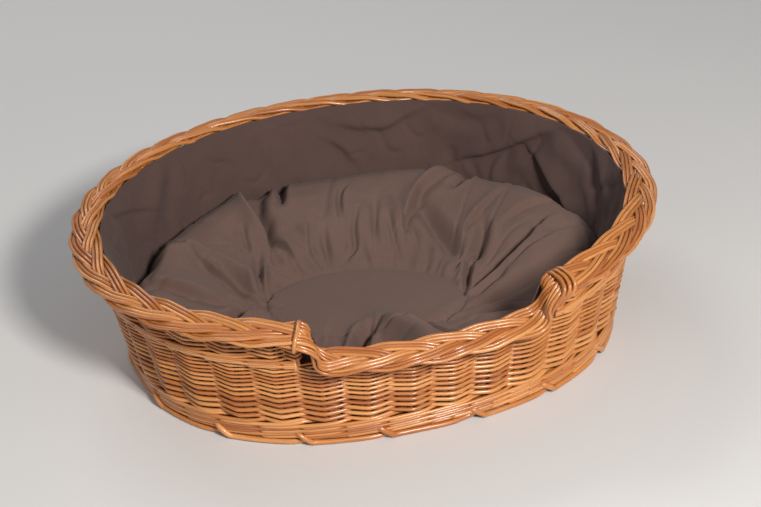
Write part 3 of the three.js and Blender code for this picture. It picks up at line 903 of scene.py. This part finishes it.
def cushion_plan(turns):
    """Plan place in mm of degrees round the cushion and share from seam to outline."""
    angle, share = np.radians(turns[..., 0]), turns[..., 1]
    inner = np.stack([PANEL_AXES[0] * np.cos(angle), PANEL_AXES[1] * np.sin(angle)], -1)
    c, s = math.cos(PANEL_TURN), math.sin(PANEL_TURN)
    inner = inner @ np.array([[c, s], [-s, c]])
    outer = np.stack([CUSHION_AXES[0] * np.cos(angle), CUSHION_AXES[1] * np.sin(angle)], -1)
    outer = outer - PANEL_CENTRE
    inside = inner * (1 + np.minimum(share, 0))[..., None]
    return PANEL_CENTRE + inside + (outer - inner) * np.maximum(share, 0)[..., None]


def gathers(degrees, share):
    """Small pleats that run out from the seam, strongest at the back and the left."""
    angle = np.radians(degrees)
    ring = np.stack([np.cos(angle), np.sin(angle)], 1)
    fine = smooth_noise(np.column_stack([ring * 7.5, share * 0.8]), 1.0)
    finer = smooth_noise(np.column_stack([ring * 17, share * 1.6]), 1.0)
    back_left = 0.35 + 0.65 * np.clip(0.5 + 0.9 * np.cos(angle - math.radians(125)), 0, 1)
    near_seam = np.where(share > 0, np.exp(-np.maximum(share, 0) / 0.4), 0)
    near_seam *= np.clip(share / 0.04, 0, 1)
    return back_left * near_seam * (7.0 * fine + 3.2 * finer)


def smooth_rows(heights, times):
    """Average a ring grid with its neighbours."""
    for _ in range(times):
        around = (np.roll(heights, 1, 1) + np.roll(heights, -1, 1)) / 2
        across = heights.copy()
        across[1:-1] = (heights[:-2] + heights[2:]) / 2
        heights = (heights * 2 + around + across) / 4
    return heights


def cushion_height(grid, plan):
    """Height in mm: profile, listed folds, gathers and the soft filling."""
    degrees, share = grid[:, 0], grid[:, 1]
    profile = np.array(CUSHION_PROFILE)
    height = np.interp(share, profile[:, 0], profile[:, 1])
    height = smooth_rows(height.reshape(-1, CUSHION_COLUMNS), 4).ravel()
    height += FOLD_STRENGTH * relief(plan, cushion_plan, CUSHION_FOLDS)
    height += gathers(degrees, share)
    ring = np.clip(share / 0.3, 0, 1)
    front = np.exp(-(((degrees - 272) / 48) ** 2))
    height -= FRONT_DROP * front * ring
    flat = np.column_stack([plan, 0 * ring])
    height += ring * (6.0 * smooth_noise(flat, 85) + 2.4 * smooth_noise(flat, 34, 3.0))
    height += 0.5 * smooth_noise(flat, 14, 5.0)
    angle = np.radians(degrees)
    around_share = np.column_stack([np.cos(angle) * 4, np.sin(angle) * 4, share * 1.3])
    height += ring * 2.4 * thin_creases(around_share, 1.0, 0.05)
    height -= SEAM_DEPTH * np.exp(-((share / SEAM_WIDTH) ** 2))
    hollow = np.exp(-(((degrees - HOLLOW_PLACE) / 7) ** 2)) * np.clip((share - 0.8) / 0.15, 0, 1)
    height -= HOLLOW_DEPTH * hollow
    return smooth_rows(height.reshape(-1, CUSHION_COLUMNS), 1)


def cushion(material):
    """The closed cushion: its top as heights over the plan, then the side down to the base."""
    degrees = np.arange(CUSHION_COLUMNS) * 360 / CUSHION_COLUMNS
    shares = np.concatenate([np.linspace(-0.96, -0.05, 22), np.linspace(-0.03, 0.06, 8),
                             np.linspace(0.075, 1, 96)])
    grid = np.stack(np.meshgrid(shares, degrees, indexing="ij"), -1)[..., ::-1].reshape(-1, 2)
    plan = cushion_plan(grid)
    height = cushion_height(grid, plan)
    centre = np.array([OVAL_CENTRE.x, OVAL_CENTRE.y])
    points = np.column_stack([plan * MM + centre, height.ravel() * MM])
    rows = list(points.reshape(len(shares), CUSHION_COLUMNS, 3))
    angle = np.radians(degrees)
    for share, z in CUSHION_SIDE:
        rim = np.stack([CUSHION_AXES[0] * np.cos(angle),
                        CUSHION_AXES[1] * np.sin(angle)], 1) * share * MM
        rows.append(np.column_stack([rim + centre, np.minimum(z, height[-1] - 2) * MM]))
    top = np.array([*(centre + np.array(PANEL_CENTRE) * MM), CUSHION_PROFILE[0][1] * MM])
    piece = grid_object("cushion_cover", rows, "cushion",
                        end=np.array([*centre, CUSHION_SIDE[-1][1] * MM]), start=top)
    piece.data.flip_normals()
    piece.data.materials.append(material)
    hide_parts("cushion")
    return piece


# ---------------------------------------------------------------- stage

FLOOR_HALF = 6
FLOOR_COLOUR = (0.62, 0.61, 0.60, 1)
WORLD_COLOUR, WORLD_STRENGTH = (0.93, 0.95, 1.0, 1), 0.19
LIGHT_TARGET = (0, 0, 0.1)
LIGHTS = {  # place, size, power in W, colour
    "key": ((0.42, -2.25, 1.8), (0.5, 0.4), 88, (1.0, 0.97, 0.93)),
    "fill": ((-1.7, -1.7, 1.2), (1.2, 1.2), 8, (0.95, 0.97, 1.0)),
    "back": ((-0.6, 1.9, 2.0), (1.5, 0.8), 20, (1, 1, 1)),
}
CAMERA_AZIMUTH, CAMERA_ELEVATION = math.radians(-14.23), math.radians(30.68)
CAMERA_DISTANCE, CAMERA_ROLL = 2.37, -0.053
CAMERA_LENS = 91.46
CAMERA_TARGET = Vector((OVAL_CENTRE.x + 0.0256, OVAL_CENTRE.y + 0.0354, 0.0692))


def area_light(name, place, size, power, colour):
    data = bpy.data.lights.new(name, "AREA")
    data.shape = "RECTANGLE"
    data.size, data.size_y = size
    data.energy = power
    data.color = colour
    light = bpy.data.objects.new(name, data)
    light.location = place
    towards = Vector(LIGHT_TARGET) - Vector(place)
    light.rotation_euler = towards.to_track_quat("-Z", "Y").to_euler()
    bpy.context.scene.collection.objects.link(light)


def stage():
    """A pale floor, a dim world and three soft lights."""
    h = FLOOR_HALF
    floor = bpy.data.meshes.new("floor")
    floor.from_pydata([(-h, -h, 0), (h, -h, 0), (h, h, 0), (-h, h, 0)], [], [(0, 1, 2, 3)])
    piece = bpy.data.objects.new("floor", floor)
    bpy.context.scene.collection.objects.link(piece)
    shader = Shader("floor_pale")
    shader.set(colour=FLOOR_COLOUR, roughness=0.9)
    floor.materials.append(shader.material)
    world = bpy.data.worlds.new("studio")
    world.use_nodes = True
    background = world.node_tree.nodes["Background"].inputs
    background[0].default_value = WORLD_COLOUR
    background[1].default_value = WORLD_STRENGTH
    bpy.context.scene.world = world
    for name, (place, size, power, colour) in LIGHTS.items():
        area_light(name, place, size, power, colour)
    bpy.context.scene.view_settings.view_transform = "Standard"


def camera():
    """The photograph's azimuth and elevation, with the small roll of a hand-held camera."""
    back = Vector((math.sin(CAMERA_AZIMUTH) * math.cos(CAMERA_ELEVATION),
                   -math.cos(CAMERA_AZIMUTH) * math.cos(CAMERA_ELEVATION),
                   math.sin(CAMERA_ELEVATION)))
    data = bpy.data.cameras.new("camera")
    data.sensor_width = 36
    data.lens = CAMERA_LENS
    made = bpy.data.objects.new("camera", data)
    made.matrix_world = (Matrix.Translation(CAMERA_TARGET + back * CAMERA_DISTANCE)
                         @ (-back).to_track_quat("-Z", "Y").to_matrix().to_4x4()
                         @ Matrix.Rotation(CAMERA_ROLL, 4, "Z"))
    bpy.context.scene.collection.objects.link(made)
    bpy.context.scene.camera = made


camera()
stage()
weave_rows = low_weave(SIDE_WILLOW)
high_weave(SIDE_WILLOW, weave_rows)
bottom_wale(FOOT_WILLOW)
base_weave(FOOT_WILLOW)
foot_border(FOOT_WILLOW)
plait(BORDER_WILLOW)
shoulder_rods(BORDER_WILLOW)
liner(LINER_CLOTH)
cushion(CUSHION_CLOTH)
for node_name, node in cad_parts.items():
    for start, stick_material in STICK_WILLOW.items():
        if node_name.startswith(start):
            node.data.materials.clear()
            node.data.materials.append(stick_material)
